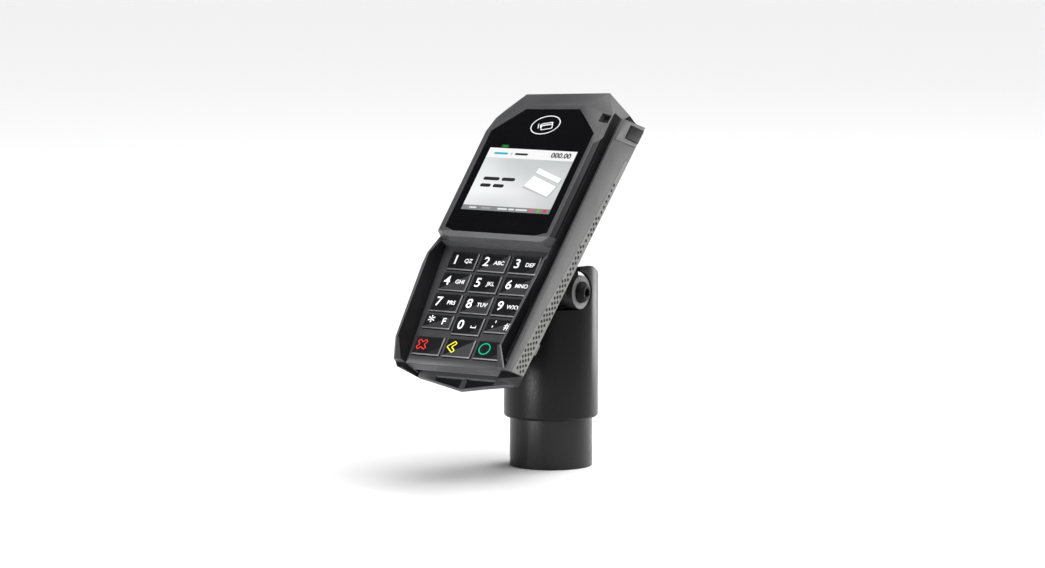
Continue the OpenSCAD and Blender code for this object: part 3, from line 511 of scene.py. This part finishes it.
# generic tap target: an oval ring with a small card and two short bars, all turned together
# painted glow: the tap target's print glows faintly
PRINT = glowing_print("white_print", (0.8, 0.8, 0.8), 0.25)
TAP_TURN = 14


def window_print(name, outlines):
    print_shape(name, outlines, TERMINAL, FACE_Z + WINDOW_INK_Z, PRINT, "terminal")


window_print("tap_ring", ring(0.0, 34.0, 7.8, 5.4, 0.5, TAP_TURN))
outer, inner = rounded(-3.2, -2.1, 3.2, 2.1, 0.6), rounded(-2.75, -1.65, 2.75, 1.65, 0.35)
tap_card = []
for k in range(len(outer)):
    n = (k + 1) % len(outer)
    tap_card.append([outer[k], outer[n], inner[n], inner[k]])
tap_card.append(rect(-2.8, 0.4, 2.8, 1.05))
window_print("tap_card", [tilted(outline, 1.0, 33.4, TAP_TURN) for outline in tap_card])
for k, x in enumerate((-3.4, -4.6)):
    bar = rounded(-0.22, -1.1 - 0.4 * k, 0.22, 1.1 + 0.4 * k, 0.2)
    window_print("tap_bar_%d" % k, [tilted(bar, x + 0.9, 33.1, TAP_TURN)])

# ---- casings ----
# where the wings start below the step and beside the keys, and where the swipe slot starts
WING_TOP = -34.5
WING_SIDE = 25
SLOT_SIDE = 32.5


def local_faces(obj):
    turn = INV.to_3x3()
    for p in obj.data.polygons:
        yield p, INV @ (p.center / MM), turn @ p.normal


front = finished("front_casing", 0.45)
front.data.materials.append(MAT["black_plastic"])
for p, c, n in local_faces(front):
    inside_wing = n.x * c.x < 0 and abs(n.x) > 0.6 and c.y < WING_TOP and abs(c.x) > WING_SIDE
    slot_side = n.x > 0.7 and c.x > SLOT_SIDE
    slot_end = c.x > SLOT_SIDE + 0.5 and n.y < -0.7 and c.y > 40
    if inside_wing or slot_side or slot_end:
        p.material_index = 1
lip = finished("card_lip", 0.25)
# painted shade: the floor of the lip's recess is drawn near black
lip.data.materials.append(moulded("recess_painted_shade", (0.011, 0.011, 0.012), 0.5, specular=0.25))
for p, c, n in local_faces(lip):
    if n.z > 0.9 and c.z < -27.2:
        p.material_index = 1

# width of the rounded edges of each piece, in millimetres
EDGE_WIDTHS = {
    "rear_casing": 0.5, "swipe_rail": 0.3, "rail_end_cap": 0.3, "corner_plug": 0.25,
    "keypad_plate": 0.12, "slot_liner": 0.2, "display_window": 0.12, "service_cover": 0.35,
    "adapter_plate": 0.3, "tilt_bracket": 0.4, "tilt_bolt": 0.15, "head_sleeve": 0.35,
    "tilt_knuckle": 0.3, "pole_tube": 0.3, "tilt_nut": 0.2, "rubber_feet": 0.3,
    "knuckle_screws": 0.15, "adapter_screws": 0.15, "bracket_screws": 0.15,
    "casing_screws": 0.15, "lcd_frame": 0.1, "security_shield": 0.15, "pivot_bolt": 0.25,
    "chip_reader": 0.2, "rear_connector": 0.2,
}
done = {name: finished(name, width) for name, width in EDGE_WIDTHS.items()}

# the lighter ring round the tilt bolt's head
done["tilt_bracket"].data.materials.append(MAT["ring_paint"])
for p, c, n in local_faces(done["tilt_bracket"]):
    if n.x > 0.95 and c.x > 20:
        p.material_index = 1
for name, look in (("tilt_bolt", "bolt_black"), ("keypad_plate", "plate_plastic"),
                   ("corner_plug", "bolt_black")):
    done[name].data.materials[0] = MAT[look]

# the black of the wings' inner walls runs on over their front bevel, up to a thin rim
RIM = 0.9
for p, c, n in list(local_faces(front)):
    if n.z > 0.5 and n.y < -0.5 and abs(c.x) > 27 and c.y < -92:
        corners = [INV @ (front.data.vertices[k].co / MM) for k in p.vertices]
        inner = min(abs(v.x) for v in corners)
        shifted = [(math.copysign(max(inner, abs(v.x) - RIM), v.x), v.y, v.z + 0.03) for v in corners]
        me = bpy.data.meshes.new("wing_shade")
        me.from_pydata([(TERMINAL @ Vector(v)) * MM for v in shifted], [], [range(len(shifted))])
        me.materials.append(MAT["black_plastic"])
        side = "right" if c.x > 0 else "left"
        add(bpy.data.objects.new("wing_shade_" + side, me), "terminal")

# painted shade: the rail's faces toward the front are drawn darker than the rest of the rail
for name in ("swipe_rail", "rail_end_cap"):
    done[name].data.materials.append(MAT["rail_front_painted_shade"])
    for p, c, n in local_faces(done[name]):
        if n.z > 0.5:
            p.material_index = 1

# ---- keys: gloss caps with a painted reflection in a corner, and their printed legends ----
# painted reflection: the sheen and shade triangles on the gloss keys
SHEEN = moulded("key_sheen", (0.05, 0.05, 0.053), 0.2, 0.05, spread=0.25, coat=0.4)
EDGE_HIGHLIGHT = moulded("key_edge", (0.16, 0.16, 0.165), 0.3, 0.05, spread=0.25, coat=0.4)
SHADE = moulded("key_shade", (0.024, 0.024, 0.026), 0.2, 0.05, spread=0.25, coat=0.4)
# painted glow: the key legends glow faintly
INK = {
    "white": glowing_print("key_white", (0.85, 0.85, 0.85), 0.4),
    "red": glowing_print("key_red", (0.75, 0.03, 0.02), 0.25),
    "yellow": glowing_print("key_yellow", (0.85, 0.75, 0.04), 0.25),
    "green": glowing_print("key_green", (0.0, 0.42, 0.20), 0.15),
}
LETTERS = {"1": "QZ", "2": "ABC", "3": "DEF", "4": "GHI", "5": "JKL", "6": "MNO", "7": "PRS", "8": "TUV",
           "9": "WXY"}
# heights of the painted reflection in the corner and of the legends, over the keypad plate
SHEEN_Z = KEY_RISE + 0.006
LEGEND_Z = KEY_RISE + 0.02


def outline_band(points, width):
    """Quads of a closed line of the given width."""
    n, quads = len(points), []

    def side(k, s_):
        a, b, c = (Vector((*points[(k + d) % n], 0)) for d in (-1, 0, 1))
        d1, d2 = (b - a).normalized(), (c - b).normalized()
        m = Vector((-(d1 + d2).y, (d1 + d2).x, 0)).normalized()
        m *= s_ * width / 2 / max(0.5, m.dot(Vector((-d1.y, d1.x, 0))))
        return (b.x + m.x, b.y + m.y)
    for k in range(n):
        quads.append([side(k, 1), side(k + 1, 1), side(k + 1, -1), side(k, -1)])
    return quads


def soften(points, r, steps=4):
    """The closed outline with its corners rounded."""
    out, n = [], len(points)
    for k in range(n):
        a, b, c = (Vector((*points[(k + d) % n], 0)) for d in (-1, 0, 1))
        p, q = b + (a - b).normalized() * r, b + (c - b).normalized() * r
        for i in range(steps + 1):
            t = i / steps
            v = p * (1 - t) ** 2 + b * 2 * t * (1 - t) + q * t ** 2
            out.append((v.x, v.y))
    return out


def key_print(name, outlines, z, look, rider):
    print_shape(name, outlines, DECK, z, look, rider)


def key_texts(name):
    """Each text on a key: its name, its words, its place from the key's middle, height and weight."""
    texts = []
    if name.isdigit():
        texts.append(("digit", name, -4.1, -1.9, 5.1, 0.09))
    if name in LETTERS:
        texts.append(("letters", LETTERS[name], 3.2, -0.9, 2.2, 0.05))
    if name == "star":
        texts.append(("star", "*", -4.1, -3.2, 6.4, 0.03))
        texts.append(("letter", "F", 3.4, -1.4, 3.6, 0.08))
    if name == "hash":
        texts.append(("hash", "#", 4.2, -1.5, 3.8, 0.05))
        texts.append(("marks", ",'", -3.4, -0.6, 3.4, 0.06))
    return texts


def key_symbol(name, x, y):
    """The drawn symbol on a key: its name, its outlines and its ink."""
    if name == "0":
        floor_bar = rect(x + 1.8, y - 1.0, x + 4.8, y - 0.55)
        ends = [rect(x + left, y - 0.55, x + left + 0.4, y + 0.3) for left in (1.8, 4.4)]
        return "space", [floor_bar] + ends, "white"
    if name == "cancel":
        a, b = 0.85, 3.05
        cross = [(a, a), (a, b), (-a, b), (-a, a), (-b, a), (-b, -a),
                 (-a, -a), (-a, -b), (a, -b), (a, -a), (b, -a), (b, a)]
        return "cross", outline_band(tilted(soften(cross, 0.6), x - 3.5, y + 0.4, 45), 0.5), "red"
    if name == "clear":
        arrow = [(-2.9, 0), (0.8, 3.1), (2.0, 1.9), (-0.3, 0), (2.0, -1.9), (0.8, -3.1)]
        arrow = [(x - 3.8 + px, y + 0.3 + py) for px, py in soften(arrow, 0.6)]
        return "arrow", outline_band(arrow, 0.55), "yellow"
    if name == "enter":
        return "ring", ring(x - 3.1, y + 0.6, 2.9, 2.9, 0.6), "green"
    return None


def key_cap(node):
    """The key's cap, with a painted highlight on the chamfers of its right and lower edges."""
    cap = finished(node, 0.12, 2)
    cap.data.materials.append(EDGE_HIGHLIGHT)
    turn = DECK.inverted().to_3x3()
    for p in cap.data.polygons:
        # painted highlight: the chamfers facing right and down get a light grey
        n = turn @ p.normal
        if 0.3 < n.z < 0.95 and (n.x > 0.3 or n.y < -0.3):
            p.material_index = 1


def key_sheen(node, rider, x, y, height, strong):
    """The painted reflection in a key's corner: half of it on every second key, else a small one."""
    ex, ey = KEY_W / 2 - 0.6, height / 2 - 0.6
    if strong:
        tri = [(x - ex + 0.2, y - ey), (x + ex, y - ey), (x + ex, y + ey - 0.2)]
    else:
        tri = [(x + ex * 0.15, y - ey), (x + ex, y - ey), (x + ex, y - ey * 0.1)]
    key_print(node + "_sheen", [tri], SHEEN_Z, SHEEN if strong else SHADE, rider)


for row, names in enumerate(ROWS):
    for col, name in enumerate(names):
        height = SHORT_KEY_H if name in ("star", "hash") else KEY_H
        x = (col - 1) * PITCH_X
        y = (2 - row) * PITCH_Y - KEY_DROP + (KEY_H - height) / 2
        if row == len(ROWS) - 1:
            y -= LAST_ROW_DROP
        node, rider = "key_" + name, "button_" + name
        key_cap(node)
        key_sheen(node, rider, x, y, height, (row + col) % 2)
        for kind, text, dx, dy, size, bold in key_texts(name):
            legend("%s_%s" % (node, kind), text, DECK, x + dx, y + dy, LEGEND_Z, size, INK["white"], rider,
                   bold, True)
        symbol = key_symbol(name, x, y)
        if symbol:
            kind, outlines, ink = symbol
            key_print("%s_%s" % (node, kind), outlines, LEGEND_Z, INK[ink], rider)

# the CAD nodes' own materials

for name in nodes:
    for holder in nodes[name].material_slots:
        holder.material = MAT[slots[name]]

# ---- camera, found by matching the photo ----
CAMERA_AT = (1.1890, -1.8099, 0.3266)
CAMERA_DOWN = 6.281
CAMERA_TURN = 33.668
cam = bpy.data.cameras.new("camera")
cam.lens = 155.02
cam.sensor_width = 36.0
cam.clip_end = 60
camera = bpy.data.objects.new("camera", cam)
camera.location = CAMERA_AT
camera.rotation_euler = (math.radians(90 - CAMERA_DOWN), 0, math.radians(CAMERA_TURN))
bpy.context.scene.collection.objects.link(camera)
bpy.context.scene.camera = camera

# ---- stage and light ----
FLOOR_HALF = 20
fm, ft, fb = shader("floor")
fb.inputs["Base Color"].default_value = (0.9, 0.9, 0.9, 1)
fb.inputs["Roughness"].default_value = 0.9
me = bpy.data.meshes.new("floor")
me.from_pydata([(*corner, 0) for corner in rect(-FLOOR_HALF, -FLOOR_HALF, FLOOR_HALF, FLOOR_HALF)], [],
               [(0, 1, 2, 3)])
me.materials.append(fm)
floor = bpy.data.objects.new("floor", me)
bpy.context.scene.collection.objects.link(floor)
floor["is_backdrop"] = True

# the world's strength, in the dark patch and elsewhere, and the way to the patch
WORLD_STRENGTH = 0.42
DARK_STRENGTH = 0.03
DARK_WAY = (-0.55, -0.19, 0.81)


def studio_world():
    """Even grey surroundings with a dark patch where the face's gloss looks."""
    world = bpy.data.worlds.new("studio")
    world.use_nodes = True
    t = world.node_tree
    back = t.nodes["Background"]
    c = t.nodes.new("ShaderNodeTexCoord")
    dot = t.nodes.new("ShaderNodeVectorMath")
    dot.operation = "DOT_PRODUCT"
    dot.inputs[1].default_value = DARK_WAY
    t.links.new(c.outputs["Generated"], dot.inputs[0])
    shade = remap(t, dot.outputs["Value"], 0.2, 0.8, WORLD_STRENGTH, DARK_STRENGTH)
    t.links.new(shade, back.inputs["Strength"])
    back.inputs["Color"].default_value = (1, 1, 1, 1)
    bpy.context.scene.world = world


def softbox(name, at, size, power, aim=(0, 0, 0.12)):
    li = bpy.data.lights.new(name, "AREA")
    li.shape = "RECTANGLE"
    li.size, li.size_y = size
    li.energy = power
    ob = bpy.data.objects.new(name, li)
    ob.location = at
    ob.rotation_euler = (Vector(aim) - Vector(at)).to_track_quat("-Z", "Y").to_euler()
    bpy.context.scene.collection.objects.link(ob)


def sun(name, strength, spread, turn):
    li = bpy.data.lights.new(name, "SUN")
    li.energy = strength
    li.angle = math.radians(spread)
    ob = bpy.data.objects.new(name, li)
    ob.rotation_euler = [math.radians(a) for a in turn]
    bpy.context.scene.collection.objects.link(ob)


studio_world()
sun("overhead", 2.8, 66, (0, 20, 0))
softbox("strip_left", (-0.115, -0.47, 0.045), (0.07, 0.085), 1.2, (0, 0, 0.05))
softbox("strip_right", (0.142, 0.48, 0.14), (0.26, 0.32), 1.5, (0, 0, 0.09))
softbox("top_back", (0.1, 1.0, 1.7), (1.4, 0.6), 14.0)
bpy.context.scene.view_settings.view_transform = "Standard"

write_size("shown")
